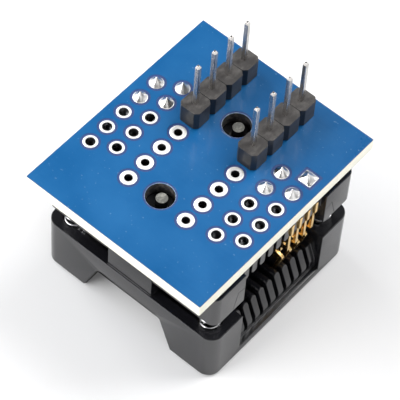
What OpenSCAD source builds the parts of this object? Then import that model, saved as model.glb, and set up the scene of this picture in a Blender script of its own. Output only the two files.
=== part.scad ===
// Adapter that carries an 8-lead surface-mount chip on a DIP8 footprint: an open-top
// test socket soldered on a small board with two 1x4 pin headers.
// It stands on the socket's cover with the header pins up. The origin is the middle of
// the board's outline, on the plane that the cover rests on.

/* [Board] */
// Board size across the two header rows
board_w = 23.0; // [22.8:0.1:24]
// Board size along the header rows
board_l = 27.3; // [26.8:0.1:28]
// Board thickness
board_t = 1.6; // [1.5:0.05:1.7]
// Height of the board's socket side above the resting plane
board_z = 15.4; // [15.2:0.1:15.8]

/* [Headers] */
// Distance between the two header rows
header_span = 7.62; // [7.62]
// Distance of the header pattern's centre from the board's centre
header_y = 2.045; // [1.9:0.005:2.1]
// Width and height of a header's plastic body
header_body = 2.54; // [2.5:0.01:2.54]
// Width of a square header pin
header_pin = 0.5; // [0.48:0.01:0.64]
// Length of pin that stands out of the header's body
header_pin_l = 6.06; // [5.5:0.01:6.5]

/* [Socket] */
// Distance of the socket's centre from the board's centre, away from the headers
socket_back = 0.4; // [0.3:0.05:0.5]
// Distance of the socket's moulding to the right of its pad pattern, play in the holes
play_x = 0.3; // [0:0.05:0.3]
// Distance of the moulding's outline from its contacts' centre, towards the headers
play_y = 0.3; // [0:0.05:0.3]
// Distance between neighbouring contacts
contact_pitch = 1.27; // [1.27]
// Contact positions that the socket's moulding has on each side
positions = 10; // [10]
// Contacts fitted on each side, from the header end
fitted = 4; // [4]
// Thickness of a contact
contact_t = 0.35; // [0.3:0.01:0.38]

/* [Cover] */
// Cover size across the contact rows
cover_w = 23.0; // [22.8:0.1:23.2]
// Cover size along the contact rows
cover_l = 22.3; // [22.2:0.1:22.4]
// Height of the cover
cover_h = 7.2; // [7.1:0.1:7.3]
// Travel of the cover towards the base
cover_travel = 2.5; // [2:0.1:2.6]

/* [Springs] */
// Outer diameter of a corner spring
spring_d = 2.3; // [2.1:0.1:2.3]
// Diameter of the spring wire
spring_wire = 0.2; // [0.18:0.01:0.24]
// Full turns of a corner spring
spring_turns = 7; // [6:1:9]

/* [Hidden] */

eps = 0.01;
round_fn = 48;

// Heights
board_top = board_z + board_t;
pad_t = 0.04;
base_top = 14.6;
flange_z = 10.0;
fin_z = 12.0;
seat_z = 6.0;
hinge_z = 9.1;

// Header row
pin_pitch = 2.54;
row_pins = 4;
header_hole_r = 0.45;
header_ring_r = 0.89;
header_copper_r = 0.5;
pin_tail = 0.65;

// Socket pattern
socket_y = -socket_back;
body_x = play_x;
body_y = socket_y + play_y;
outer_row = 9.62;
inner_row = 7.15;
socket_hole_r = 0.53;
socket_ring_r = 0.8;
socket_copper_r = 0.58;
tail_w = 0.5;
peg_y = 5.95;
peg_hole_r = 1.55;
peg_r = 0.64;
peg_play_x = 0.1;
peg_play_y = 0.15;
boss_r = 2.3;

// Contact position i counts from the header end
function position_y(i) = socket_y + contact_pitch * ((positions - 1) / 2 - i);
function is_outer(side, i) = (i % 2 == 0) == (side > 0);
function pad_x(side, i) = side * (is_outer(side, i) ? outer_row : inner_row);

// Base
block_x = 11.3;
block_y = 11.0;
block_r = 1.0;
foot_r = 1.3;
foot_in = 1.7;
block_in_y = 6.35;
comb_x = 10.6;
core_x = 7.4;
core_y = 7.6;
slot_in_x = 6.4;
slot_w = 0.47;
slot_top_z = 9.65;
rib_w = contact_pitch - slot_w;
comb_z = fin_z + rib_w / 2;
chip_w = 5.3;
chip_play = 0.12;
ledge_x = 4.15;
seat_wall_z = 4.6;
leg_x = 2.95;
leg_gap = 0.15;
latch_shelf_z = 11.0;
latch_lower_y = 9.3;
latch_upper_y = 8.8;

// Cover
cover_r = 1.5;
recess_y = 6.45;
recess_z = 1.2;
rib_top_x = 9.93;
rib_top_z = 5.15;
rib_foot_x = 10.85;
rib_foot_z = 2.6;
rib_crown_z = rib_top_z - rib_w / 2;
cam_slope = (rib_foot_x - rib_top_x) / (rib_top_z - rib_foot_z);
cam_depth = 1.6;
cam_top_z = 3.9;
cam_in_z = 3.1;
slot_floor_z = 1.4;
cavity_x = 7.6;
cavity_y = 7.8;
window_x = 5.2;
window_y = 7.0;
floor_t = 1.6;
arch_foot = 5.95;
arch_crown = 4.25;
arch_z = 4.9;
arch_depth = 2.2;
leg_out_y = 10.95;
leg_in_y = 9.45;
hook_y = 8.9;
hook_clear = 0.05;
hook_taper = 0.8;
leg_top = board_z - cover_travel - 0.6;
spring_x = 9.25;
spring_y = 8.95;
pocket_r = 1.3;
pocket_z = 3.0;
end_pocket_x = 10.2;
end_pocket_y = 9.9;
end_pocket_z = 5.2;

// Contact bars: at the flexure, below the fins and between the fins
bar_in = 9.43;
bar_out = 9.78;
low_in = 10.25;
low_out = 10.6;
up_in = 10.5;
up_out = 10.85;

// Where the cam's face stands at height z of the cover
function cam_x(z) = rib_foot_x - cam_depth - cam_slope * (z - rib_foot_z);

// A rectangle centred on the origin, with rounded corners, as exact arcs
module rounded_plate(w, l, r, h) {
    linear_extrude(h) union() {
        square([w - 2 * r, l], center = true);
        square([w, l - 2 * r], center = true);
        for (sx = [-1, 1], sy = [-1, 1])
            translate([sx * (w / 2 - r), sy * (l / 2 - r)]) circle(r, $fn = round_fn);
    }
}

// A block from one corner to the opposite corner
module block(lo, hi) {
    translate(lo) cube(hi - lo);
}

// A profile drawn in x and z, given thickness t about the plane y
module profile(points, y, t) {
    translate([0, y + t / 2, 0]) rotate([90, 0, 0]) linear_extrude(t) polygon(points);
}

// Mirrors its child for the left side
module on_side(side) {
    if (side > 0) children();
    else mirror([1, 0, 0]) children();
}

function spare_pin_y(i) = header_y - pin_pitch * (i - row_pins + 0.5);
function fitted_pin_y(i) = header_y + pin_pitch * (i + 0.5);

module circuit_board() {
    color("steelblue") difference() {
        translate([-board_w / 2, -board_l / 2, board_z]) cube([board_w, board_l, board_t]);
        for (side = [-1, 1], i = [0:positions - 1])
            translate([pad_x(side, i), position_y(i), board_z - 1])
                cylinder(r = socket_copper_r, h = board_t + 2, $fn = round_fn);
        for (side = [-1, 1], i = [0:2 * row_pins - 1])
            translate([side * header_span / 2, spare_pin_y(i), board_z - 1])
                cylinder(r = header_copper_r, h = board_t + 2, $fn = round_fn);
        for (sy = [-1, 1])
            translate([0, socket_y + sy * peg_y, board_z - 1])
                cylinder(r = peg_hole_r, h = board_t + 2, $fn = round_fn);
    }
}

// A plated hole: a barrel through the board and a ring on each face
module plated_hole(x, y, ring_r, copper_r, hole_r, square_ring = false) {
    difference() {
        union() {
            translate([x, y, board_z - pad_t])
                cylinder(r = copper_r, h = board_t + 2 * pad_t, $fn = round_fn);
            for (z = [board_z - pad_t, board_top])
                if (square_ring)
                    translate([x - ring_r, y - ring_r, z]) cube([2 * ring_r, 2 * ring_r, pad_t]);
                else
                    translate([x, y, z]) cylinder(r = ring_r, h = pad_t, $fn = round_fn);
        }
        translate([x, y, board_z - 1]) cylinder(r = hole_r, h = board_t + 2, $fn = round_fn);
    }
}

module socket_pads() {
    color("gainsboro") for (side = [-1, 1], i = [0:positions - 1])
        plated_hole(pad_x(side, i), position_y(i), socket_ring_r, socket_copper_r,
            socket_hole_r, side > 0 && i == 0);
}

module header_pads() {
    color("gainsboro") for (side = [-1, 1], i = [0:2 * row_pins - 1])
        plated_hole(side * header_span / 2, spare_pin_y(i), header_ring_r,
            header_copper_r, header_hole_r);
}

// Moulded header body: one eight-sided cell per pin, joined into a strip
module header_body_strip(side) {
    cell = header_body / 2;
    notch = 0.42;
    cell_outline = [[cell - notch, -cell], [cell, notch - cell], [cell, cell - notch],
        [cell - notch, cell], [notch - cell, cell], [-cell, cell - notch],
        [-cell, notch - cell], [notch - cell, -cell]];
    z0 = board_top + pad_t;
    hole = header_pin / 2 + eps;
    difference() {
        for (i = [0:row_pins - 1]) translate([side * header_span / 2, fitted_pin_y(i), z0])
            linear_extrude(header_body) polygon(cell_outline);
        for (i = [0:row_pins - 1])
            block([side * header_span / 2 - hole, fitted_pin_y(i) - hole, z0 - 1],
                [side * header_span / 2 + hole, fitted_pin_y(i) + hole, z0 + header_body + 1]);
    }
}

module header_body_left() {
    color([0.13, 0.12, 0.13]) header_body_strip(-1);
}

module header_body_right() {
    color([0.13, 0.12, 0.13]) header_body_strip(1);
}

// Square pins with all four long edges broken and a bevelled tip
module header_pins(side) {
    a = header_pin / 2;
    c = 0.05;
    tip = 0.13;
    z0 = board_z - pin_tail;
    z1 = board_top + pad_t + header_body + header_pin_l;
    outline = [[a - c, -a], [a, c - a], [a, a - c], [a - c, a], [c - a, a], [-a, a - c],
        [-a, c - a], [c - a, -a]];
    for (i = [0:row_pins - 1]) translate([side * header_span / 2, fitted_pin_y(i), 0])
        intersection() {
            translate([0, 0, z0]) linear_extrude(z1 - z0) polygon(outline);
            pin_bevel(z0, z1, a, tip);
        }
}

// The space left by bevelling a pin's upper end on its four faces
module pin_bevel(z0, z1, a, tip) {
    bevel = [[-a, z0], [a, z0], [a, z1 - 2 * tip], [a - tip, z1], [tip - a, z1],
        [-a, z1 - 2 * tip]];
    intersection() {
        profile(bevel, 0, 4 * a);
        rotate([0, 0, 90]) profile(bevel, 0, 4 * a);
    }
}

module header_pins_left() {
    color("silver") header_pins(-1);
}

module header_pins_right() {
    color("silver") header_pins(1);
}

// Solder on the socket side of each header pin
module header_solder() {
    reach = 0.55;
    h = header_pin / 2;
    color("silver") for (side = [-1, 1], i = [0:row_pins - 1])
        translate([side * header_span / 2, fitted_pin_y(i), 0]) difference() {
            rotate_extrude($fn = round_fn)
                polygon([[0, board_z], [header_hole_r, board_z],
                    [header_hole_r, board_z - pad_t], [0.8, board_z - pad_t],
                    [0.5, board_z - pad_t - 0.2], [0.46, board_z - reach],
                    [0, board_z - reach]]);
            block([-h, -h, board_z - 2], [h, h, board_z + 1]);
        }
}

// Pointed solder joint on the pin side of each socket tail, filling the hole
module contact_solder() {
    peak = 0.95;
    a = tail_w / 2;
    b = contact_t / 2;
    color("silver") for (side = [-1, 1], i = [0:fitted - 1])
        translate([pad_x(side, i), position_y(i), 0]) difference() {
            rotate_extrude($fn = round_fn)
                polygon([[0, board_z], [socket_hole_r, board_z],
                    [socket_hole_r, board_top + pad_t], [0.74, board_top + pad_t],
                    [0.62, board_top + 0.2], [0.4, board_top + 0.5],
                    [0.12, board_top + peak], [0, board_top + peak]]);
            block([-a, -b, board_z - 1], [a, b, board_top + 0.3]);
        }
}

module socket_base() {
    color([0.06, 0.06, 0.07]) translate([body_x, 0, 0]) difference() {
        union() {
            base_blocks();
            base_core();
            base_pegs();
        }
        base_slots();
        chip_seat();
        latch_recess();
        header_clearance();
    }
}

// The four corner blocks, joined by a plate whose long sides step in below the fins
module base_blocks() {
    difference() {
        translate([0, body_y, flange_z])
            rounded_plate(2 * block_x, 2 * block_y, block_r, base_top - flange_z);
        for (side = [-1, 1]) on_side(side) translate([0, body_y, 0]) {
            block([comb_x, -block_in_y, flange_z - 1], [cover_w, block_in_y, base_top + 1]);
            block([core_x, -block_in_y, flange_z - 1], [cover_w, block_in_y, comb_z]);
        }
    }
    for (side = [-1, 1], end = [-1, 1])
        translate([side * (block_x - foot_in), body_y + end * (block_y - foot_in),
            base_top - eps]) cylinder(r = foot_r, h = board_z - base_top + eps, $fn = round_fn);
}

// The pillar that carries the chip, and the rounded lower ends of the fins
module base_core() {
    translate([0, body_y, 0])
        block([-core_x, -core_y, seat_wall_z], [core_x, core_y, comb_z + eps]);
    for (side = [-1, 1], k = [1:positions - 1]) on_side(side)
        translate([core_x - eps, position_y(k - 0.5), comb_z]) rotate([0, 90, 0])
            cylinder(r = rib_w / 2, h = comb_x - core_x + eps, $fn = round_fn);
}

// Two bosses that meet the board, each with a thin peg in the board's hole
module base_pegs() {
    for (end = [-1, 1])
        translate([peg_play_x - body_x, socket_y + peg_play_y + end * peg_y, base_top - eps]) {
        cylinder(r = boss_r, h = board_z - base_top + eps, $fn = round_fn);
        cylinder(r = peg_r, h = 2, $fn = round_fn);
    }
}

// One slot per contact position on each side, open to the outside and downwards
module base_slots() {
    for (side = [-1, 1], i = [0:positions - 1]) on_side(side) {
        y = position_y(i);
        block([ledge_x, y - slot_w / 2, 0], [core_x + eps, y + slot_w / 2, slot_top_z]);
        block([slot_in_x, y - slot_w / 2, 0], [block_x, y + slot_w / 2, base_top + 1]);
    }
}

// Seat for the chip's body and feet, open downwards
module chip_seat() {
    y = position_y((fitted - 1) / 2);
    half = chip_w / 2 + chip_play;
    slot_y = (fitted * contact_pitch) / 2;
    block([-ledge_x - eps, y - half, 0], [ledge_x + eps, y + half, seat_z]);
    for (side = [-1, 1]) on_side(side)
        block([half, y - slot_y, 0], [core_x + 1, y + slot_y, seat_z - 0.6]);
}

// Room for the cover's snap legs on the two short sides, deeper above their shelf
module latch_recess() {
    half = leg_x + leg_gap;
    for (end = [0, 1]) translate([0, body_y, 0]) mirror([0, end, 0]) {
        block([-half, latch_lower_y, 0], [half, block_y + 1, base_top + 1]);
        block([-half, latch_upper_y, latch_shelf_z], [half, block_y + 1, base_top + 1]);
    }
}

// Shallow room over the header pins' solder joints
module header_clearance() {
    half_w = 1.1;
    end_gap = 1.3;
    depth = 0.3;
    for (side = [-1, 1]) translate([side * header_span / 2 - body_x, 0, 0])
        block([-half_w, fitted_pin_y(0) - end_gap, base_top - depth],
            [half_w, fitted_pin_y(row_pins - 1) + end_gap, base_top + depth]);
}

module socket_cover() {
    color([0.05, 0.05, 0.06]) translate([body_x, 0, 0]) difference() {
        union() {
            cover_shell();
            cover_combs();
            snap_legs();
        }
        cam_slots();
        spring_pockets();
        arches();
    }
}

// Frame of the cover: walls, floor with the chip window, open long sides
module cover_shell() {
    edge = 0.25;
    end_pocket_r = 0.8;
    wall = 0.6;
    translate([0, body_y, 0]) difference() {
        union() {
            translate([0, 0, edge]) rounded_plate(cover_w, cover_l, cover_r, cover_h - edge);
            rounded_plate(cover_w - 2 * edge, cover_l - 2 * edge, cover_r - edge, edge + eps);
        }
        block([-cavity_x, -cavity_y, floor_t], [cavity_x, cavity_y, cover_h + 1]);
        block([-window_x, -window_y, -1], [window_x, window_y, floor_t + 1]);
        for (side = [-1, 1]) on_side(side) {
            block([cavity_x - eps, -recess_y, rib_crown_z], [cover_w, recess_y, cover_h + 1]);
            block([rib_foot_x, -recess_y, recess_z], [cover_w, recess_y, cover_h + 1]);
            rib_face();
        }
        translate([0, 0, end_pocket_z]) difference() {
            rounded_plate(2 * end_pocket_x, 2 * end_pocket_y, end_pocket_r, cover_h);
            block([-cover_w, wall - cavity_y, -1], [cover_w, cavity_y - wall, cover_h + 1]);
        }
    }
}

// The space in front of the ribs' sloping faces
module rib_face() {
    top_x = rib_top_x - cam_slope * (cover_h + 1 - rib_top_z);
    profile([[top_x, cover_h + 1], [rib_foot_x, rib_foot_z], [rib_foot_x + 1, rib_foot_z],
        [rib_foot_x + 1, cover_h + 1]], 0, 2 * recess_y);
}

// Rounded tops of the ribs on the long sides, cut along the sloping faces
module cover_combs() {
    for (side = [-1, 1]) on_side(side) difference() {
        for (k = [1:positions - 1])
            translate([cavity_x, position_y(k - 0.5), rib_crown_z]) rotate([0, 90, 0])
                cylinder(r = rib_w / 2, h = rib_foot_x - cavity_x, $fn = round_fn);
        translate([0, body_y, 0]) rib_face();
    }
}

// Slots between the ribs, with the sloping cam that pushes the levers outwards
module cam_slots() {
    for (side = [-1, 1], i = [0:positions - 1]) on_side(side)
        profile([[cavity_x - eps, cover_h], [cavity_x - eps, cam_in_z],
            [cam_x(cam_top_z), cam_top_z], [cam_x(slot_floor_z), slot_floor_z],
            [cover_w, slot_floor_z], [cover_w, cover_h]], position_y(i), slot_w);
}

// A snap leg in the middle of each short side, hooked over the base's shelf
module snap_legs() {
    hook_z = latch_shelf_z + hook_clear;
    for (end = [0, 1]) translate([0, body_y, 0]) mirror([0, end, 0]) rotate([0, 0, 90])
        profile([[leg_in_y, floor_t], [leg_out_y, floor_t], [leg_out_y, leg_top],
            [leg_in_y + 0.25, leg_top], [hook_y, leg_top - hook_taper], [hook_y, hook_z],
            [leg_in_y, hook_z]], 0, 2 * leg_x);
}

// Open pockets for the corner springs
module spring_pockets() {
    for (side = [-1, 1], end = [-1, 1])
        translate([side * spring_x, body_y + end * spring_y, pocket_z])
            cylinder(r = pocket_r, h = cover_h, $fn = round_fn);
}

// Arched openings in the short sides, from the resting face up
module arches() {
    for (end = [-1, 1]) translate([0, body_y + end * cover_l / 2, 0])
        profile([[-arch_foot, -1], [arch_foot, -1], [arch_foot, 0.4],
            [arch_crown + 0.15, arch_z - 0.5], [arch_crown - 0.5, arch_z],
            [0.5 - arch_crown, arch_z], [-arch_crown - 0.15, arch_z - 0.5],
            [-arch_foot, 0.4]], 0, 2 * arch_depth);
}

// Round wire wound between the pocket's floor and the base's flange
module coil_spring(side, end) {
    coil_r = (spring_d - spring_wire) / 2;
    z0 = pocket_z + spring_wire / 2 + 0.02;
    z1 = flange_z - spring_wire / 2 - 0.02;
    steps = 12;
    count = spring_turns * steps;
    function wire_point(k) = [coil_r * cos(360 * k / steps), coil_r * sin(360 * k / steps),
        z0 + (z1 - z0) * k / count];
    ring = 6;
    points = [for (k = [0:count], j = [0:ring - 1])
        let (c = wire_point(k), out = 360 * k / steps, a = 360 * j / ring)
        c + spring_wire / 2 * [cos(a) * cos(out), cos(a) * sin(out), sin(a)]];
    walls = [for (k = [0:count - 1], j = [0:ring - 1])
        let (n = (j + 1) % ring)
        [k * ring + j, k * ring + n, (k + 1) * ring + n, (k + 1) * ring + j]];
    caps = [[for (j = [ring - 1:-1:0]) j], [for (j = [0:ring - 1]) count * ring + j]];
    color("lightgray") translate([body_x + side * spring_x, body_y + end * spring_y, 0])
        polyhedron(points, concat(walls, caps));
}

module spring_left_front() {
    coil_spring(-1, -1);
}

module spring_left_rear() {
    coil_spring(-1, 1);
}

module spring_right_front() {
    coil_spring(1, -1);
}

module spring_right_rear() {
    coil_spring(1, 1);
}

// Fixed part of a contact: solder tail, foot, stepped column and hook to the flexure
module contact_stem(side, i) {
    x = abs(pad_x(side, i) - body_x);
    tail_top = board_top + 0.3;
    foot_top = base_top - 0.5;
    foot_low = 13.4;
    step_z = 12.35;
    step = 0.15;
    hook_low = 9.3;
    hook_top = 9.65;
    corner = 0.2;
    color("goldenrod") translate([body_x, 0, 0]) on_side(side)
        profile([[bar_in, hinge_z], [bar_out, hinge_z], [bar_out, hook_low],
            [low_out - corner, hook_low], [low_out, hook_low + corner], [low_out, step_z - step],
            [up_out, step_z + step], [up_out, foot_top], [x + tail_w / 2, foot_top],
            [x + tail_w / 2, tail_top], [x - tail_w / 2, tail_top], [x - tail_w / 2, foot_low],
            [up_in, foot_low], [up_in, step_z + 2 * step], [low_in, step_z],
            [low_in, hook_top], [bar_in, hook_top]], position_y(i), contact_t);
}

// Moving part of a contact: bend, corner, cam lever and the arm with the chip's tip
module contact_arm(side, i) {
    gap = 0.05;
    node_x = 10.1;
    lever_z = 4.15;
    tip_x = 3.55;
    tip_z = seat_z - 0.3;
    color("goldenrod") translate([body_x, 0, 0]) on_side(side)
        profile([[bar_in, hinge_z - gap], [bar_out, hinge_z - gap], [bar_out, 8.65],
            [9.3, 8.35], [9.15, 8.15], [9.3, 7.95], [node_x, 7.65], [node_x, 7.3],
            [9.2, lever_z + 0.2], [9.0, lever_z], [8.87, lever_z + 0.2], [9.5, 6.75],
            [9.05, 6.95], [5.2, 5.35], [4.2, 5.1], [tip_x + 0.1, 5.15], [tip_x, tip_z - 0.1],
            [tip_x + 0.12, tip_z], [tip_x + 0.3, tip_z], [4.2, 5.55], [5.0, 5.85],
            [8.6, 7.5], [8.8, 8.4], [9.1, 8.7], [bar_in, 8.8]], position_y(i), contact_t);
}

module contact_stem_left_1() {
    contact_stem(-1, 0);
}

module contact_stem_left_2() {
    contact_stem(-1, 1);
}

module contact_stem_left_3() {
    contact_stem(-1, 2);
}

module contact_stem_left_4() {
    contact_stem(-1, 3);
}

module contact_stem_right_1() {
    contact_stem(1, 0);
}

module contact_stem_right_2() {
    contact_stem(1, 1);
}

module contact_stem_right_3() {
    contact_stem(1, 2);
}

module contact_stem_right_4() {
    contact_stem(1, 3);
}

module contact_arm_left_1() {
    contact_arm(-1, 0);
}

module contact_arm_left_2() {
    contact_arm(-1, 1);
}

module contact_arm_left_3() {
    contact_arm(-1, 2);
}

module contact_arm_left_4() {
    contact_arm(-1, 3);
}

module contact_arm_right_1() {
    contact_arm(1, 0);
}

module contact_arm_right_2() {
    contact_arm(1, 1);
}

module contact_arm_right_3() {
    contact_arm(1, 2);
}

module contact_arm_right_4() {
    contact_arm(1, 3);
}

circuit_board();
socket_pads();
header_pads();
header_body_left();
header_body_right();
header_pins_left();
header_pins_right();
header_solder();
contact_solder();
socket_base();
socket_cover();
spring_left_front();
spring_left_rear();
spring_right_front();
spring_right_rear();
contact_stem_left_1();
contact_stem_left_2();
contact_stem_left_3();
contact_stem_left_4();
contact_stem_right_1();
contact_stem_right_2();
contact_stem_right_3();
contact_stem_right_4();
contact_arm_left_1();
contact_arm_left_2();
contact_arm_left_3();
contact_arm_left_4();
contact_arm_right_1();
contact_arm_right_2();
contact_arm_right_3();
contact_arm_right_4();
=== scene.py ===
"""Looks of the chip programming adapter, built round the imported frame.

It stands on its socket's cover with the header pins up. Sizes are in millimetres and are
turned into metres by MM. Places come from the frame's boxes, the two standard pitches and
the sizes named below.
"""

import math
import random

import bmesh
import bpy
from mathutils import Matrix, Vector


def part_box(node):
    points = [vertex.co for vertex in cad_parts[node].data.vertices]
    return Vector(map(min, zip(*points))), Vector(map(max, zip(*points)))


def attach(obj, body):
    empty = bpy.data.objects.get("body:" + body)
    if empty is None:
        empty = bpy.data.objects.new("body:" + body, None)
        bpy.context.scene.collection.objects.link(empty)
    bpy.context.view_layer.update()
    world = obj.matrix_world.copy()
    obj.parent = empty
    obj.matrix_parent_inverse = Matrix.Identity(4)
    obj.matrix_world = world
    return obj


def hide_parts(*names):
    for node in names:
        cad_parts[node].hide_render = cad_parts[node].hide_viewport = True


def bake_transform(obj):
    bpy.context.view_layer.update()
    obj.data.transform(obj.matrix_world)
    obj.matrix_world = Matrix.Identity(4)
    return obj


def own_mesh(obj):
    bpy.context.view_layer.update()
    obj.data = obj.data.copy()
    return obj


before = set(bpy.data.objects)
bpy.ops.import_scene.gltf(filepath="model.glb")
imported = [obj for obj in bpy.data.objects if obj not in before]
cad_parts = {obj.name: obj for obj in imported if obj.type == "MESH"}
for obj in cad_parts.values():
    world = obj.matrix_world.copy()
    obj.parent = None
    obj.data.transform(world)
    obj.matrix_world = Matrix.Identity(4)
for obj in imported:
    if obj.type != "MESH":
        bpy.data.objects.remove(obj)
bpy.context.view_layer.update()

MM = 0.001
HEADER_PITCH = 2.54
CONTACT_PITCH = 1.27
POSITIONS = 10
FITTED = 4
ROW_PINS = 4


def box_mm(node):
    """Lowest and highest corner of a CAD node, in millimetres."""
    lo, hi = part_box(node)
    return Vector(lo) / MM, Vector(hi) / MM


board_lo, board_hi = box_mm("circuit_board")
pads_lo, pads_hi = box_mm("socket_pads")
header_pads_hi = box_mm("header_pads")[1]
base_lo, base_hi = box_mm("socket_base")
cover_lo, cover_hi = box_mm("socket_cover")

SOCKET_RING_R = 0.8
SOCKET_HOLE_R = 0.53
HEADER_RING_R = 0.89
HEADER_HOLE_R = 0.45
PEG_HOLE_R = 1.55
PEG_OFFSET = 5.95
PAD_T = 0.04
PAD_SIDES = 40
SOCKET_Y = (pads_lo.y + pads_hi.y) / 2
BODY_X = (cover_lo.x + cover_hi.x) / 2
BODY_Y = (cover_lo.y + cover_hi.y) / 2
BOARD_TOP = board_hi.z
BOARD_LOW = board_lo.z
OUTER_ROW = pads_hi.x - SOCKET_RING_R
INNER_ROW = 7.15
HEADER_X = header_pads_hi.x - HEADER_RING_R
HEADER_FIRST_Y = header_pads_hi.y - HEADER_RING_R


def position_y(i):
    """Y of contact position i, counted from the header end."""
    return SOCKET_Y + CONTACT_PITCH * ((POSITIONS - 1) / 2 - i)


def pad_x(side, i):
    """X of the pad of contact position i: the tails alternate between two rows."""
    outer = (i % 2 == 0) == (side > 0)
    return side * (OUTER_ROW if outer else INNER_ROW)


def socket_pad_places():
    return [(pad_x(side, i), position_y(i), side, i) for side in (-1, 1) for i in range(POSITIONS)]


def header_pad_places():
    return [
        (side * HEADER_X, HEADER_FIRST_Y - HEADER_PITCH * i, side, i)
        for side in (-1, 1)
        for i in range(2 * ROW_PINS)
    ]


# ---------------------------------------------------------------- material helpers


def new_material(name, color, roughness, metallic=0.0):
    mat = bpy.data.materials.new(name)
    mat.use_nodes = True
    shader = mat.node_tree.nodes["Principled BSDF"]
    shader.inputs["Base Color"].default_value = (*color, 1)
    shader.inputs["Roughness"].default_value = roughness
    shader.inputs["Metallic"].default_value = metallic
    return mat


def add(mat, kind, **values):
    """Adds a node and sets its properties or its inputs by name."""
    node = mat.node_tree.nodes.new(kind)
    for key, value in values.items():
        if key in node.inputs:
            node.inputs[key].default_value = value
        else:
            setattr(node, key, value)
    return node


def link(mat, source, target):
    mat.node_tree.links.new(source, target)


def object_coords(mat, scale):
    """Object coordinates in units of 1/scale metres, stretched per axis."""
    coords = add(mat, "ShaderNodeTexCoord")
    mapping = add(mat, "ShaderNodeMapping")
    mapping.inputs["Scale"].default_value = scale
    link(mat, coords.outputs["Object"], mapping.inputs["Vector"])
    return mapping.outputs["Vector"]


def noise_of(mat, scale, detail=3.0, roughness=0.55):
    tex = add(mat, "ShaderNodeTexNoise", Detail=detail, Roughness=roughness)
    tex.inputs["Scale"].default_value = 1.0
    link(mat, object_coords(mat, scale), tex.inputs["Vector"])
    return tex.outputs["Fac"]


def ramp(mat, value, low, high, out_low, out_high):
    node = add(mat, "ShaderNodeMapRange")
    node.inputs["From Min"].default_value = low
    node.inputs["From Max"].default_value = high
    node.inputs["To Min"].default_value = out_low
    node.inputs["To Max"].default_value = out_high
    link(mat, value, node.inputs["Value"])
    return node.outputs["Result"]


def mix_color(mat, factor, first, second):
    """Mixes two colours. Each is a tuple or a socket."""
    node = add(mat, "ShaderNodeMix", data_type="RGBA")
    link(mat, factor, node.inputs["Factor"])
    for value, socket in ((first, node.inputs[6]), (second, node.inputs[7])):
        if isinstance(value, tuple):
            socket.default_value = (*value, 1)
        else:
            link(mat, value, socket)
    return node.outputs[2]


def bump_chain(mat, heights):
    """Stacks bumps: (height socket, distance in mm, strength)."""
    shader = mat.node_tree.nodes["Principled BSDF"]
    normal = None
    for value, distance, strength in heights:
        bump = add(mat, "ShaderNodeBump", Strength=strength, Distance=distance * MM)
        link(mat, value, bump.inputs["Height"])
        if normal is not None:
            link(mat, normal, bump.inputs["Normal"])
        normal = bump.outputs["Normal"]
    link(mat, normal, shader.inputs["Normal"])


def edge_mask(mat, radius):
    """1 near an edge and 0 on open faces: how far a rounded normal leans off the true one."""
    bevel = add(mat, "ShaderNodeBevel", samples=6)
    bevel.inputs["Radius"].default_value = radius * MM
    geometry = add(mat, "ShaderNodeNewGeometry")
    dot = add(mat, "ShaderNodeVectorMath", operation="DOT_PRODUCT")
    link(mat, bevel.outputs["Normal"], dot.inputs[0])
    link(mat, geometry.outputs["Normal"], dot.inputs[1])
    return ramp(mat, dot.outputs["Value"], 0.97, 0.75, 0.0, 1.0)


def set_input(mat, name, socket):
    link(mat, socket, mat.node_tree.nodes["Principled BSDF"].inputs[name])


# ---------------------------------------------------------------- materials


def moulded_black(name, color, gloss_low, gloss_high, worn):
    """Moulded plastic: faint flow marks in the gloss, fine texture, paler rubbed edges."""
    mat = new_material(name, color, gloss_low)
    flow = noise_of(mat, (180, 180, 420), 4)
    grain = noise_of(mat, (2600, 2600, 2600), 2)
    smear = noise_of(mat, (90, 140, 60), 5, 0.7)
    edges = edge_mask(mat, 0.12)
    rubbed = add(mat, "ShaderNodeMath", operation="MULTIPLY")
    link(mat, edges, rubbed.inputs[0])
    link(mat, ramp(mat, smear, 0.35, 0.7, 0.1, 1.0), rubbed.inputs[1])
    set_input(mat, "Base Color", mix_color(mat, rubbed.outputs[0], color, worn))
    set_input(mat, "Roughness", ramp(mat, flow, 0.3, 0.7, gloss_low, gloss_high))
    bump_chain(mat, [(flow, 0.03, 0.25), (grain, 0.004, 0.2)])
    shader = mat.node_tree.nodes["Principled BSDF"]
    shader.inputs["IOR"].default_value = 1.55
    return mat


def metal(name, color, dark, rough_low, rough_high, stretch, bump, metallic=1.0):
    """Plated or drawn metal: streaks along one axis, small stains."""
    mat = new_material(name, color, rough_low, metallic)
    streaks = noise_of(mat, stretch, 4)
    stains = noise_of(mat, (700, 700, 700), 4, 0.65)
    set_input(mat, "Base Color", mix_color(mat, ramp(mat, stains, 0.45, 0.75, 0, 0.8), color, dark))
    set_input(mat, "Roughness", ramp(mat, streaks, 0.3, 0.7, rough_low, rough_high))
    bump_chain(mat, [(streaks, bump, 0.5)])
    return mat


def speckled(name, color, fleck, roughness):
    """Dull surface with small flecks, for cut glass cloth and cropped plastic."""
    mat = new_material(name, color, roughness)
    flecks = noise_of(mat, (2200, 2200, 2200), 3, 0.6)
    set_input(mat, "Base Color", mix_color(mat, ramp(mat, flecks, 0.45, 0.65, 0, 1), color, fleck))
    bump_chain(mat, [(flecks, 0.02, 0.6)])
    return mat


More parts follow.
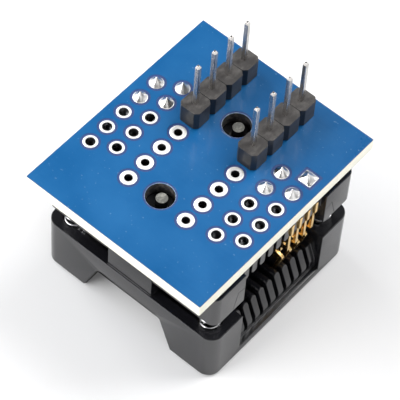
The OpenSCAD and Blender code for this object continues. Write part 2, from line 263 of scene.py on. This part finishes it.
def solder_mask():
    """Blue lacquer: glass cloth shows faintly through, and the gloss varies a little."""
    deep, pale = (0.001, 0.088, 0.262), (0.003, 0.118, 0.324)
    mat = new_material("solder_mask_blue", deep, 0.3)
    cloud = noise_of(mat, (120, 120, 120), 5, 0.6)
    weave_x = add(mat, "ShaderNodeTexWave", wave_type="BANDS", bands_direction="X", Distortion=1.2)
    weave_y = add(mat, "ShaderNodeTexWave", wave_type="BANDS", bands_direction="Y", Distortion=1.2)
    for wave in (weave_x, weave_y):
        wave.inputs["Scale"].default_value = 1.0
        link(mat, object_coords(mat, (520, 520, 520)), wave.inputs["Vector"])
    cloth = add(mat, "ShaderNodeMath", operation="ADD")
    link(mat, weave_x.outputs["Fac"], cloth.inputs[0])
    link(mat, weave_y.outputs["Fac"], cloth.inputs[1])
    dust = noise_of(mat, (3500, 3500, 3500), 2, 0.4)
    tint = mix_color(mat, ramp(mat, cloud, 0.3, 0.7, 0, 1), deep, pale)
    specks = mix_color(mat, ramp(mat, dust, 0.72, 0.78, 0, 0.35), tint, (0.25, 0.42, 0.62))
    set_input(mat, "Base Color", specks)
    set_input(mat, "Roughness", ramp(mat, cloud, 0.3, 0.7, 0.26, 0.4))
    bump_chain(mat, [(cloth.outputs[0], 0.006, 0.35), (cloud, 0.03, 0.3), (dust, 0.004, 0.3)])
    shader = mat.node_tree.nodes["Principled BSDF"]
    shader.inputs["Coat Weight"].default_value = 0.25
    shader.inputs["Coat Roughness"].default_value = 0.12
    return mat


def glass_epoxy():
    """Board core: cream routed sides with cloth layers; its flat faces, seen where the mask is open, are
    painted dark violet as painted shade at the mask's opening edge.
    """
    cream, straw, clearance_shade = (0.86, 0.85, 0.74), (0.70, 0.66, 0.50), (0.028, 0.062, 0.200)
    mat = new_material("glass_epoxy_core", cream, 0.55)
    layers = add(mat, "ShaderNodeTexWave", wave_type="BANDS", bands_direction="Z", Distortion=2.5)
    layers.inputs["Scale"].default_value = 1.0
    layers.inputs["Detail"].default_value = 3.0
    link(mat, object_coords(mat, (60, 60, 1500)), layers.inputs["Vector"])
    fibres = noise_of(mat, (900, 900, 5200), 4, 0.7)
    side = mix_color(mat, ramp(mat, layers.outputs["Fac"], 0.2, 0.9, 0, 0.35), cream, straw)
    side = mix_color(mat, ramp(mat, fibres, 0.55, 0.75, 0, 0.4), side, (0.93, 0.92, 0.86))
    geometry = add(mat, "ShaderNodeNewGeometry")
    parts = add(mat, "ShaderNodeSeparateXYZ")
    link(mat, geometry.outputs["Normal"], parts.inputs[0])
    flat = add(mat, "ShaderNodeMath", operation="ABSOLUTE")
    link(mat, parts.outputs["Z"], flat.inputs[0])
    # Painted shade: faces lying flat take a dark violet in place of the cream, so the mask clearance rings
    # look shaded.
    flat_face_shade = ramp(mat, flat.outputs[0], 0.6, 0.9, 0, 1)
    set_input(mat, "Base Color", mix_color(mat, flat_face_shade, side, clearance_shade))
    bump_chain(mat, [(fibres, 0.02, 0.5), (layers.outputs["Fac"], 0.01, 0.4)])
    shader = mat.node_tree.nodes["Principled BSDF"]
    shader.inputs["Subsurface Weight"].default_value = 0.15
    shader.inputs["Subsurface Radius"].default_value = (0.4 * MM, 0.35 * MM, 0.2 * MM)
    return mat


def scuffed_and_lit_tops(name, side_color, lit_top_color):
    """Matte moulded strip: dark sides, and tops that are rougher and scuffed in patches, and painted paler
    than the sides as painted light falling on the up-facing faces.
    """
    mat = moulded_black(name, side_color, 0.34, 0.5, (0.16, 0.15, 0.15))
    shader = mat.node_tree.nodes["Principled BSDF"]
    sides = shader.inputs["Base Color"].links[0].from_socket
    gloss = shader.inputs["Roughness"].links[0].from_socket
    geometry = add(mat, "ShaderNodeNewGeometry")
    parts = add(mat, "ShaderNodeSeparateXYZ")
    link(mat, geometry.outputs["Normal"], parts.inputs[0])
    # Painted light: up-facing faces get the paler top colour, while the sides keep the dark one.
    up = ramp(mat, parts.outputs["Z"], 0.6, 0.95, 0, 1)
    scuffs = noise_of(mat, (1500, 900, 900), 5, 0.7)
    tops = mix_color(mat, ramp(mat, scuffs, 0.45, 0.75, 0, 0.8), lit_top_color, (0.12, 0.112, 0.105))
    set_input(mat, "Base Color", mix_color(mat, up, sides, tops))
    rough = add(mat, "ShaderNodeMix")
    link(mat, up, rough.inputs[0])
    link(mat, gloss, rough.inputs[2])
    rough.inputs[3].default_value = 0.62
    set_input(mat, "Roughness", rough.outputs[0])
    return mat


MASK = solder_mask()
# Near-black hole walls: partly the drilled laminate's darker tone, partly painted shade inside the bore.
HOLE_WALL_TONE_AND_SHADE = speckled("hole_wall", (0.030, 0.030, 0.034), (0.11, 0.10, 0.09), 0.6)
HOLE_RIM = speckled("hole_rim", (0.13, 0.22, 0.36), (0.34, 0.42, 0.50), 0.5)
CORE = glass_epoxy()
TIN = metal("tinned_pad", (0.97, 0.97, 0.95), (0.78, 0.77, 0.75), 0.42, 0.58, (420, 420, 420), 0.02, 0.45)
BARREL = metal("plated_barrel", (0.34, 0.34, 0.36), (0.10, 0.10, 0.12), 0.22, 0.4, (400, 400, 900), 0.02)
SOLDER = metal("solder", (0.82, 0.81, 0.80), (0.42, 0.41, 0.41), 0.20, 0.36, (500, 500, 500), 0.04)
PIN = metal("header_pin", (0.62, 0.60, 0.58), (0.30, 0.29, 0.28), 0.16, 0.32, (1600, 1600, 140), 0.01)
GOLD = metal("gold_contact", (0.98, 0.68, 0.28), (0.62, 0.36, 0.12), 0.14, 0.30, (1400, 300, 300), 0.008)
STEEL = metal("spring_wire", (0.78, 0.78, 0.80), (0.45, 0.45, 0.47), 0.12, 0.26, (900, 900, 300), 0.006)
SOCKET_BLACK = moulded_black("socket_black", (0.010, 0.010, 0.012), 0.13, 0.24, (0.10, 0.10, 0.105))
COVER_BLACK = moulded_black("cover_black", (0.008, 0.008, 0.010), 0.14, 0.25, (0.12, 0.12, 0.125))
HEADER_BLACK = scuffed_and_lit_tops("header_black", (0.009, 0.009, 0.010), (0.030, 0.027, 0.026))
# Painted shadow: near-black strips stand in for the shade inside the fine mould seam grooves.
SEAM_SHADOW = new_material("seam_shadow", (0.002, 0.002, 0.002), 0.8)
PEG_GREY = speckled("peg_end", (0.12, 0.12, 0.11), (0.30, 0.30, 0.27), 0.42)


# ---------------------------------------------------------------- mesh helpers


def piece_from_bmesh(name, bm, material, body, smooth_angle=35):
    """Turns a bmesh in millimetres into a piece in metres that rides on a body."""
    bmesh.ops.scale(bm, vec=(MM, MM, MM), verts=bm.verts)
    bmesh.ops.recalc_face_normals(bm, faces=bm.faces)
    mesh = bpy.data.meshes.new(name)
    bm.to_mesh(mesh)
    bm.free()
    return piece_from_mesh(name, mesh, material, body, smooth_angle)


def piece_from_mesh(name, mesh, material, body, smooth_angle=35):
    obj = bpy.data.objects.new(name, mesh)
    bpy.context.scene.collection.objects.link(obj)
    materials = material if isinstance(material, list) else [material]
    for mat in materials:
        mesh.materials.append(mat)
    mesh.set_sharp_from_angle(angle=math.radians(smooth_angle))
    for polygon in mesh.polygons:
        polygon.use_smooth = True
    if body is not None:
        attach(obj, body)
    return obj


def apply_modifiers(obj):
    """Replaces the mesh by its evaluated result and drops the modifiers."""
    bpy.context.view_layer.update()
    graph = bpy.context.evaluated_depsgraph_get()
    mesh = bpy.data.meshes.new_from_object(obj.evaluated_get(graph))
    obj.modifiers.clear()
    obj.data = mesh


def round_edges(obj, width, segments=3, angle=30):
    bevel = obj.modifiers.new("rounded_edges", "BEVEL")
    bevel.width = width * MM
    bevel.segments = segments
    bevel.limit_method = "ANGLE"
    bevel.angle_limit = math.radians(angle)
    bevel.use_clamp_overlap = False
    bevel.miter_outer = "MITER_ARC"
    bevel.harden_normals = True
    apply_modifiers(obj)


def cad_shape(node, name, material, body, edge=0.0, segments=3):
    """A cleaned copy of a CAD node's shape, with its edges rounded, that stands for the node."""
    bm = bmesh.new()
    bm.from_mesh(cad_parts[node].data)
    bmesh.ops.remove_doubles(bm, verts=bm.verts, dist=1e-6)
    bmesh.ops.dissolve_limit(
        bm, angle_limit=math.radians(0.6), verts=bm.verts, edges=bm.edges, use_dissolve_boundaries=False
    )
    mesh = bpy.data.meshes.new(name)
    bm.to_mesh(mesh)
    bm.free()
    obj = piece_from_mesh(name, mesh, material, body)
    if edge:
        round_edges(obj, edge, segments)
    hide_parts(node)
    return obj


def spin(bm, profile, centre, segments, material_index=0, wobble=None):
    """Adds a turned surface: profile is (radius, z) points; radius 0 closes it at a point."""
    rings = []
    for radius, z in profile:
        if radius == 0:
            rings.append([bm.verts.new((centre[0], centre[1], z))])
            continue
        ring = []
        for k in range(segments):
            angle = 2 * math.pi * k / segments
            r = radius * (wobble(angle, z) if wobble else 1.0)
            ring.append(bm.verts.new((centre[0] + r * math.cos(angle), centre[1] + r * math.sin(angle), z)))
        rings.append(ring)
    for low, high in zip(rings, rings[1:]):
        for k in range(segments):
            n = (k + 1) % segments
            if len(low) == 1:
                face = bm.faces.new((low[0], high[k], high[n]))
            elif len(high) == 1:
                face = bm.faces.new((low[k], low[n], high[0]))
            else:
                face = bm.faces.new((low[k], low[n], high[n], high[k]))
            face.material_index = material_index
    return rings


def close_loop(bm, first, last, material_index=0):
    """Joins two rings of equal length with a band."""
    count = len(first)
    for k in range(count):
        n = (k + 1) % count
        bm.faces.new((first[k], last[k], last[n], first[n])).material_index = material_index


def flat_sheet(name, outline, holes, z0, z1, edge, material, body):
    """A flat sheet with holes and rounded rims, from 2D outlines given in millimetres."""
    curve = bpy.data.curves.new(name, "CURVE")
    curve.dimensions = "2D"
    curve.fill_mode = "BOTH"
    curve.extrude = ((z1 - z0) / 2 - edge) * MM
    curve.bevel_depth = edge * MM
    curve.bevel_resolution = 2
    curve.offset = -edge * MM
    for points in [outline] + holes:
        spline = curve.splines.new("POLY")
        spline.points.add(len(points) - 1)
        for point, (x, y) in zip(spline.points, points):
            point.co = (x * MM, y * MM, 0, 1)
        spline.use_cyclic_u = True
    maker = bpy.data.objects.new(name + "_curve", curve)
    bpy.context.scene.collection.objects.link(maker)
    bpy.context.view_layer.update()
    graph = bpy.context.evaluated_depsgraph_get()
    mesh = bpy.data.meshes.new_from_object(maker.evaluated_get(graph))
    bpy.data.objects.remove(maker)
    mesh.transform(Matrix.Translation((0, 0, (z0 + z1) / 2 * MM)))
    mesh.materials.clear()
    bm = bmesh.new()
    bm.from_mesh(mesh)
    bmesh.ops.remove_doubles(bm, verts=bm.verts, dist=1e-7)
    bm.to_mesh(mesh)
    bm.free()
    obj = piece_from_mesh(name, mesh, material, body)
    for polygon in mesh.polygons:
        polygon.use_smooth = abs(polygon.normal.z) < 0.999
    return obj


def rounded_rectangle(x0, y0, x1, y1, r, steps=8):
    points = []
    centres = (
        (x1 - r, y1 - r, 0), (x0 + r, y1 - r, 90), (x0 + r, y0 + r, 180), (x1 - r, y0 + r, 270),
    )
    for cx, cy, start in centres:
        for k in range(steps + 1):
            angle = math.radians(start + 90 * k / steps)
            points.append((cx + r * math.cos(angle), cy + r * math.sin(angle)))
    return points


def ring_of_points(x, y, r, count=48):
    return [
        (x + r * math.cos(2 * math.pi * k / count), y + r * math.sin(2 * math.pi * k / count))
        for k in range(count)
    ]


# ---------------------------------------------------------------- board


MASK_T = 0.035
MASK_INSET = 0.06
MASK_CLEARANCE = 0.27
PEG_RIM = 0.22
BOARD_RIM = 0.5
# Places in the material lists of the board core and of the pads.
WALL_SLOT = 1
RIM_SLOT = 2
BARREL_SLOT = 1


def build_board():
    core_holes, mask_holes = [], []
    for x, y, side, i in socket_pad_places():
        core_holes.append(ring_of_points(x, y, SOCKET_HOLE_R + 0.04))
        if side > 0 and i == 0:
            half = SOCKET_RING_R + MASK_CLEARANCE
            mask_holes.append(rounded_rectangle(x - half, y - half, x + half, y + half, 0.15, 4))
        else:
            mask_holes.append(ring_of_points(x, y, SOCKET_RING_R + MASK_CLEARANCE))
    for x, y, _, _ in header_pad_places():
        core_holes.append(ring_of_points(x, y, HEADER_HOLE_R + 0.04))
        mask_holes.append(ring_of_points(x, y, HEADER_RING_R + MASK_CLEARANCE))
    for end in (-1, 1):
        core_holes.append(ring_of_points(0, SOCKET_Y + end * PEG_OFFSET, PEG_HOLE_R))
        mask_holes.append(ring_of_points(0, SOCKET_Y + end * PEG_OFFSET, PEG_HOLE_R + PEG_RIM))
    outline = rounded_rectangle(board_lo.x, board_lo.y, board_hi.x, board_hi.y, 0.12, 3)
    core = flat_sheet(
        "board_core", outline, core_holes, BOARD_LOW + MASK_T, BOARD_TOP - MASK_T, 0.05,
        [CORE, HOLE_WALL_TONE_AND_SHADE, HOLE_RIM], "base",
    )
    color_hole_walls(core.data)
    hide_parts("circuit_board")
    mask_outline = rounded_rectangle(
        board_lo.x + MASK_INSET, board_lo.y + MASK_INSET,
        board_hi.x - MASK_INSET, board_hi.y - MASK_INSET, 0.2, 3,
    )
    for name, z0 in (("mask_pin_side", BOARD_TOP - MASK_T), ("mask_socket_side", BOARD_LOW)):
        flat_sheet(name, mask_outline, mask_holes, z0, z0 + MASK_T, 0.012, MASK, "base")


def color_hole_walls(mesh):
    """Near-black walls inside every hole, partly the drilled laminate's own darker tone and partly painted
    shade in the bore, and a pale bare rim round the two peg holes.
    """
    pegs = [Vector((0, SOCKET_Y + end * PEG_OFFSET)) for end in (-1, 1)]
    for polygon in mesh.polygons:
        centre = Vector(polygon.center) / MM
        inside = min(
            centre.x - board_lo.x, board_hi.x - centre.x,
            centre.y - board_lo.y, board_hi.y - centre.y,
        )
        if inside < BOARD_RIM:
            continue
        if abs(polygon.normal.z) < 0.9:
            polygon.material_index = WALL_SLOT
        distance = min((centre.xy - peg).length for peg in pegs)
        if distance < PEG_HOLE_R + PEG_RIM + 0.1 and polygon.normal.z > 0.2:
            polygon.material_index = RIM_SLOT


def build_pads(name, node, places, ring_r, hole_r, square_first):
    """Plated holes: domed tin rings on both faces and the darker barrel between them."""
    bm = bmesh.new()
    wall = 0.03
    for x, y, side, i in places:
        top, low = BOARD_TOP + PAD_T, BOARD_LOW - PAD_T
        turned = [
            (hole_r + wall, BOARD_TOP - MASK_T), (ring_r - 0.02, BOARD_TOP - MASK_T),
            (ring_r, BOARD_TOP - 0.01), (ring_r - 0.05, top - 0.012), (ring_r - 0.16, top),
            (hole_r + 0.10, top), (hole_r + 0.02, top - 0.02), (hole_r, top - 0.07),
        ]
        if square_first and side > 0 and i == 0:
            add_square_pad(bm, x, y, ring_r, hole_r, top)
        else:
            spin(bm, turned, (x, y), PAD_SIDES)
        spin(bm, [(hole_r, top - 0.07), (hole_r, low + 0.07)], (x, y), PAD_SIDES, BARREL_SLOT)
        mirrored = [(r, BOARD_TOP + BOARD_LOW - z) for r, z in reversed(turned)]
        spin(bm, mirrored, (x, y), PAD_SIDES)
        outside = [(hole_r + wall, BOARD_LOW + MASK_T), (hole_r + wall, BOARD_TOP - MASK_T)]
        spin(bm, outside, (x, y), PAD_SIDES, BARREL_SLOT)
    bmesh.ops.remove_doubles(bm, verts=bm.verts, dist=1e-4)
    obj = piece_from_bmesh(name, bm, [TIN, BARREL], "base")
    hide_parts(node)


def add_square_pad(bm, x, y, half, hole_r, top):
    """A square land with rounded corners round a plated hole."""
    levels = ((half, BOARD_TOP - MASK_T), (half, top - 0.02), (half - 0.05, top))
    rings = []
    for size, z in levels:
        ring = []
        for k in range(PAD_SIDES):
            angle = 2 * math.pi * k / PAD_SIDES
            c, s = math.cos(angle), math.sin(angle)
            reach = size / (abs(c) ** 14 + abs(s) ** 14) ** (1 / 14)
            ring.append(bm.verts.new((x + reach * c, y + reach * s, z)))
        rings.append(ring)
    for radius, z in ((hole_r + 0.1, top), (hole_r + 0.02, top - 0.02), (hole_r, top - 0.07)):
        rings.append([
            bm.verts.new((
                x + radius * math.cos(2 * math.pi * k / PAD_SIDES),
                y + radius * math.sin(2 * math.pi * k / PAD_SIDES), z,
            ))
            for k in range(PAD_SIDES)
        ])
    for low, high in zip(rings, rings[1:]):
        close_loop(bm, low, high)


# ---------------------------------------------------------------- solder


JOINT_SIDES = 32
FILLET_R = 0.8
FILLET_DRAW_IN = 0.38
FILLET_DEPTH = 0.6
FILLET_STEPS = 8


def build_contact_solder():
    """Pointed joints with a concave skirt, each a little different."""
    draw = random.Random(11)
    bm = bmesh.new()
    for x, y, side, i in socket_pad_places():
        if i >= FITTED:
            continue
        phase = draw.uniform(0, 6.28)
        lobes = draw.choice((2, 3))
        amount = draw.uniform(0.03, 0.07)
        peak = BOARD_TOP + draw.uniform(0.80, 0.95)
        base_z = BOARD_TOP + PAD_T - 0.012
        height = peak - base_z
        lean = Vector((draw.uniform(-0.08, 0.08), draw.uniform(-0.08, 0.08)))
        skirt = SOCKET_RING_R * 0.95
        on_square = side > 0 and i == 0

        def wobble(angle, z):
            fade = max(0.0, 1 - (z - base_z) / height)
            if on_square:
                return 1 + fade**3 * (0.36 * abs(math.sin(2 * angle)) ** 3 - 0.03)
            return 1 + amount * fade * math.sin(lobes * angle + phase)

        profile = [(skirt, base_z - 0.01)]
        steps = 14
        for k in range(steps):
            t = (k + 0.5) / steps
            radius = skirt * (1 - t) ** 1.25 + 0.10 * (1 - (1 - t) ** 3) * (1 - t) ** 0.35
            profile.append((radius, base_z + height * t * (0.55 + 0.45 * t) + 0.03))
        profile.append((0, peak))
        rings = spin(bm, profile, (x, y), JOINT_SIDES, 0, wobble)
        for ring in rings:
            for vert in ring:
                t = max(0.0, (vert.co.z - base_z) / height)
                vert.co.x += lean.x * t * t
                vert.co.y += lean.y * t * t
        core = [(0, BOARD_LOW + 0.1), (SOCKET_HOLE_R - 0.03, BOARD_LOW), (skirt, base_z - 0.01)]
        spin(bm, core, (x, y), JOINT_SIDES)
    bmesh.ops.remove_doubles(bm, verts=bm.verts, dist=1e-4)
    obj = piece_from_bmesh("contact_solder_joints", bm, SOLDER, "base", 50)
    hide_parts("contact_solder")


def build_header_solder():
    """Round fillets on the socket side of the header pins."""
    bm = bmesh.new()
    pad_face = BOARD_LOW - PAD_T
    for x, y, _, _ in header_places_fitted():
        profile = [(FILLET_R, pad_face + 0.01)]
        for k in range(FILLET_STEPS):
            t = (k + 1) / FILLET_STEPS
            radius = FILLET_R - FILLET_DRAW_IN * math.sin(t * math.pi / 2)
            profile.append((radius, pad_face - FILLET_DEPTH * t * t))
        profile.append((0, pad_face - FILLET_DEPTH - 0.03))
        spin(bm, profile, (x, y), JOINT_SIDES)
    obj = piece_from_bmesh("header_solder_joints", bm, SOLDER, "base", 50)
    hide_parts("header_solder")


def header_places_fitted():
    return [place for place in header_pad_places() if place[3] < ROW_PINS]


# ---------------------------------------------------------------- header bodies


HEADER_NOTCH = 0.42
CELL_SEAM = 0.02


def build_header_strip(side, word):
    """Break-away strip: four eight-sided cells with a fine seam between neighbours."""
    lo, hi = box_mm(f"header_body_{word}")
    half = (hi.x - lo.x) / 2
    bm = bmesh.new()
    for x, y, place_side, i in header_places_fitted():
        if place_side != side:
            continue
        long = HEADER_PITCH / 2 - CELL_SEAM
        outline = [
            (half - HEADER_NOTCH, -long), (half, HEADER_NOTCH - long), (half, long - HEADER_NOTCH),
            (half - HEADER_NOTCH, long), (HEADER_NOTCH - half, long), (-half, long - HEADER_NOTCH),
            (-half, HEADER_NOTCH - long), (HEADER_NOTCH - half, -long),
        ]
        low = [bm.verts.new((x + u, y + v, lo.z)) for u, v in outline]
        high = [bm.verts.new((x + u, y + v, hi.z)) for u, v in outline]
        close_loop(bm, low, high)
        bm.faces.new(high)
        bm.faces.new(list(reversed(low)))
    obj = piece_from_bmesh(f"header_strip_{word}", bm, HEADER_BLACK, "base")
    round_edges(obj, 0.04, 2, 25)
    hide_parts(f"header_body_{word}")


# ---------------------------------------------------------------- springs


def build_spring(end, name, node):
    """Compression spring: close coils at both ends, open coils between."""
    lo, hi = box_mm(node)
    wire = 0.10
    centre = Vector(((lo.x + hi.x) / 2, (lo.y + hi.y) / 2))
    coil_r = (hi.x - lo.x) / 2 - wire
    turns, closed, steps, sides = 8.6, 1.0, 32, 10
    count = int(turns * steps)
    z0, z1 = lo.z + wire, hi.z - wire
    pitch_closed = 2 * wire * 1.04
    open_turns = turns - 2 * closed
    pitch_open = (z1 - z0 - 2 * closed * pitch_closed) / open_turns

    def height(turn):
        if turn < closed:
            return turn * pitch_closed
        if turn > turns - closed:
            return z1 - z0 - (turns - turn) * pitch_closed
        return closed * pitch_closed + (turn - closed) * pitch_open

    bm = bmesh.new()
    rings = []
    for k in range(count + 1):
        turn = k / steps
        angle = 2 * math.pi * turn + end
        out = Vector((math.cos(angle), math.sin(angle), 0))
        middle = Vector((centre.x, centre.y, z0 + height(turn))) + out * coil_r
        ring = []
        for j in range(sides):
            a = 2 * math.pi * j / sides
            ring.append(bm.verts.new(middle + wire * (out * math.cos(a) + Vector((0, 0, math.sin(a))))))
        rings.append(ring)
    for low, high in zip(rings, rings[1:]):
        close_loop(bm, low, high)
    bm.faces.new(rings[0])
    bm.faces.new(list(reversed(rings[-1])))
    obj = piece_from_bmesh(name, bm, STEEL, "base", 60)
    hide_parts(node)
    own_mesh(obj)


# ---------------------------------------------------------------- contacts


BAR_IN, BAR_OUT = 9.43, 9.78
LOW_IN, LOW_OUT = 10.25, 10.60
UP_IN, UP_OUT = 10.50, 10.85
STEP_Z = 12.35
HOOK_LOW, HOOK_TOP = 9.3, 9.65
FOOT_LOW, FOOT_TOP = 13.4, 14.1
TAIL_W = 0.5
STRIP_T = 0.35


def contact_outline(x):
    """Outline in x and z of one contact whose tail is at x, for the right side."""
    tail_top = BOARD_TOP + 0.3
    bend = [8.85 + 0.09 * k for k in range(6)]
    tail = [
        (UP_OUT, FOOT_TOP), (x + TAIL_W / 2, FOOT_TOP), (x + TAIL_W / 2, tail_top),
        (x - TAIL_W / 2, tail_top), (x - TAIL_W / 2, FOOT_LOW), (UP_IN, FOOT_LOW),
    ]
    column_in = [
        (UP_IN, STEP_Z + 0.3), (LOW_IN, STEP_Z), (LOW_IN, HOOK_TOP + 0.15),
        (LOW_IN - 0.06, HOOK_TOP + 0.04), (LOW_IN - 0.2, HOOK_TOP),
    ]
    column_out = [
        (LOW_OUT - 0.3, HOOK_LOW), (LOW_OUT - 0.1, HOOK_LOW + 0.06), (LOW_OUT, HOOK_LOW + 0.2),
        (LOW_OUT, STEP_Z - 0.15), (UP_OUT, STEP_Z + 0.15),
    ]
    bar_in_side = [(BAR_IN, HOOK_TOP), (BAR_IN, HOOK_TOP - 0.2)] + [(BAR_IN, z) for z in reversed(bend)]
    bar_out_side = [(BAR_OUT, z) for z in bend]
    return_bend = [
        (9.12, 8.7), (8.95, 8.62), (8.82, 8.4), (8.72, 8.0), (8.6, 7.5), (5.0, 5.83),
        (4.3, 5.57), (4.0, 5.55),
    ]
    tip = [
        (3.85, 5.62), (3.74, 5.7), (3.62, 5.69), (3.55, 5.6), (3.56, 5.36), (3.65, 5.18), (3.85, 5.1),
        (4.2, 5.1), (4.8, 5.2), (5.4, 5.42),
    ]
    lever = [
        (8.95, 6.9), (9.2, 6.88), (9.37, 6.72), (9.45, 6.55), (8.87, 4.37), (8.9, 4.21), (9.0, 4.15),
        (9.11, 4.2), (9.2, 4.35), (10.07, 7.3), (10.1, 7.44), (10.08, 7.56), (9.98, 7.66),
    ]
    inner_bend = [
        (9.42, 7.9), (9.26, 7.98), (9.17, 8.1), (9.17, 8.22), (9.28, 8.34), (9.6, 8.52), (BAR_OUT, 8.68),
    ]
    fixed_inside = tail + column_in + bar_in_side
    moving = return_bend + tip + lever + inner_bend
    return fixed_inside + moving + bar_out_side + column_out


def build_contact(side, i):
    """One stamped contact, built as one rigid piece; in the real socket its upper part is fixed and its
    lower part swings with the arms.
    """
    word = "right" if side > 0 else "left"
    points = []
    for point in contact_outline(abs(pad_x(side, i) - BODY_X)):
        if not points or (Vector(point) - Vector(points[-1])).length > 1e-4:
            points.append(point)
    bm = bmesh.new()
    front = [bm.verts.new((BODY_X + side * x, position_y(i) - STRIP_T / 2, z)) for x, z in points]
    back = [bm.verts.new((BODY_X + side * x, position_y(i) + STRIP_T / 2, z)) for x, z in points]
    bm.faces.new(front)
    bm.faces.new(list(reversed(back)))
    close_loop(bm, front, back)
    obj = piece_from_bmesh(f"contact_{word}_{i + 1}", bm, GOLD, None)
    round_edges(obj, 0.035, 2, 25)
    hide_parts(f"contact_stem_{word}_{i + 1}", f"contact_arm_{word}_{i + 1}")
    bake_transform(obj)


# ---------------------------------------------------------------- mould seams, as painted shadow strips


SEAM_W = 0.06
SEAM_PROUD = 0.004
SEAM_DEEP = 0.03
SEAM_PATH = ((8.07, 10.25), (7.42, 12.6), (6.42, 12.35))


def build_block_seam_shadows():
    """Fine mould seam on the outer face of each corner block, drawn as near-black strips of painted shadow
    where the seam's groove would be shaded: (distance along y, height).
    """
    bm = bmesh.new()
    for side in (-1, 1):
        face_x = base_hi.x if side > 0 else base_lo.x
        for end in (-1, 1):
            for (y0, z0), (y1, z1) in zip(SEAM_PATH, SEAM_PATH[1:]):
                start, stop = Vector((end * y0 + BODY_Y, z0)), Vector((end * y1 + BODY_Y, z1))
                across = (stop - start).normalized().orthogonal() * SEAM_W / 2
                loop = [start - across, stop - across, stop + across, start + across]
                outer = [bm.verts.new((face_x + side * SEAM_PROUD, y, z)) for y, z in loop]
                inner = [bm.verts.new((face_x - side * SEAM_DEEP, y, z)) for y, z in loop]
                close_loop(bm, outer, inner)
                bm.faces.new(outer)
                bm.faces.new(list(reversed(inner)))
    piece_from_bmesh("block_seam_shadows", bm, SEAM_SHADOW, "base")


# ---------------------------------------------------------------- stage, camera, light


def build_stage():
    mesh = bpy.data.meshes.new("floor")
    half = 1.2
    corners = [(-half, -half, 0), (half, -half, 0), (half, half, 0), (-half, half, 0)]
    mesh.from_pydata(corners, [], [(0, 1, 2, 3)])
    floor = bpy.data.objects.new("floor", mesh)
    bpy.context.scene.collection.objects.link(floor)
    mat = new_material("floor_white", (0.86, 0.86, 0.86), 0.9)
    patches = noise_of(mat, (12, 12, 12), 4)
    set_input(mat, "Base Color", mix_color(mat, patches, (0.85, 0.85, 0.855), (0.88, 0.88, 0.88)))
    mat.node_tree.nodes["Principled BSDF"].inputs["Specular IOR Level"].default_value = 0.1
    mesh.materials.append(mat)


def build_camera():
    """The photograph's viewpoint: above the near right corner, with a long lens."""
    azimuth, elevation, roll = (math.radians(v) for v in (36.75, 55.52, 4.76))
    distance = 236.2
    aim = Vector((3.26, -4.05, BOARD_TOP))
    back = Vector((
        math.sin(azimuth) * math.cos(elevation),
        -math.cos(azimuth) * math.cos(elevation),
        math.sin(elevation),
    ))
    data = bpy.data.cameras.new("camera")
    data.lens = 212.95
    data.clip_start, data.clip_end = 0.01, 10
    camera = bpy.data.objects.new("camera", data)
    bpy.context.scene.collection.objects.link(camera)
    camera.location = (aim + back * distance) * MM
    turn = (-back).to_track_quat("-Z", "Y").to_matrix().to_4x4()
    camera.matrix_world = Matrix.Translation(camera.location) @ turn @ Matrix.Rotation(roll, 4, "Z")
    bpy.context.scene.camera = camera


def area_light(name, place, target, size, power, color=(1, 1, 1)):
    data = bpy.data.lights.new(name, "AREA")
    data.shape = "RECTANGLE"
    data.size, data.size_y = size
    data.energy = power
    data.color = color
    light = bpy.data.objects.new(name, data)
    bpy.context.scene.collection.objects.link(light)
    direction = Vector(target) - Vector(place)
    light.matrix_world = Matrix.Translation(place) @ direction.to_track_quat("-Z", "Y").to_matrix().to_4x4()


def build_light():
    world = bpy.data.worlds.new("studio")
    bpy.context.scene.world = world
    world.use_nodes = True
    tree = world.node_tree
    background = tree.nodes["Background"]
    coords = tree.nodes.new("ShaderNodeTexCoord")
    parts = tree.nodes.new("ShaderNodeSeparateXYZ")
    fade = tree.nodes.new("ShaderNodeValToRGB")
    fade.color_ramp.elements[0].position = 0.0
    fade.color_ramp.elements[0].color = (1.0, 1.0, 1.0, 1)
    fade.color_ramp.elements[1].position = 0.6
    fade.color_ramp.elements[1].color = (0.16, 0.16, 0.165, 1)
    tree.links.new(coords.outputs["Generated"], parts.inputs[0])
    tree.links.new(parts.outputs["Z"], fade.inputs[0])
    tree.links.new(fade.outputs[0], background.inputs["Color"])
    background.inputs["Strength"].default_value = 1.0
    area_light("key", (0.17, 0.40, 0.50), (0, 0, 0), (0.45, 0.45), 3.7)
    area_light("fill", (0.45, -0.25, 0.35), (0, 0, 0.01), (0.5, 0.4), 0.6)
    area_light("front", (-0.30, -0.45, 0.30), (0, 0, 0.01), (0.5, 0.3), 3.4)
    area_light("left", (-0.50, -0.05, 0.30), (0, 0, 0.01), (0.4, 0.4), 2.2)


# ---------------------------------------------------------------- assembly


build_board()
build_pads("socket_pad_rings", "socket_pads", socket_pad_places(), SOCKET_RING_R, SOCKET_HOLE_R, True)
build_pads("header_pad_rings", "header_pads", header_pad_places(), HEADER_RING_R, HEADER_HOLE_R, False)
build_contact_solder()
build_header_solder()
for side, word in ((-1, "left"), (1, "right")):
    build_header_strip(side, word)
    cad_shape(
        f"header_pins_{word}", f"header_pin_set_{word}", PIN, "base",
        edge=0.03, segments=2,
    )
base_moulding = cad_shape(
    "socket_base", "base_moulding", [SOCKET_BLACK, PEG_GREY], "base", edge=0.06
)
PEG_END_DEPTH = 0.12
PEG_END_SLOT = 1
for polygon in base_moulding.data.polygons:
    if polygon.center.z / MM > base_hi.z - PEG_END_DEPTH:
        polygon.material_index = PEG_END_SLOT
cad_shape("socket_cover", "cover_moulding", COVER_BLACK, "cover", edge=0.07)
for side, side_word in ((-1, "left"), (1, "right")):
    for end, end_word in ((-1, "front"), (1, "rear")):
        name = f"spring_{side_word}_{end_word}"
        build_spring(end, "coil_" + name, name)
    for i in range(FITTED):
        build_contact(side, i)

build_block_seam_shadows()

build_stage()
build_camera()
build_light()
bpy.context.scene.view_settings.view_transform = "Standard"
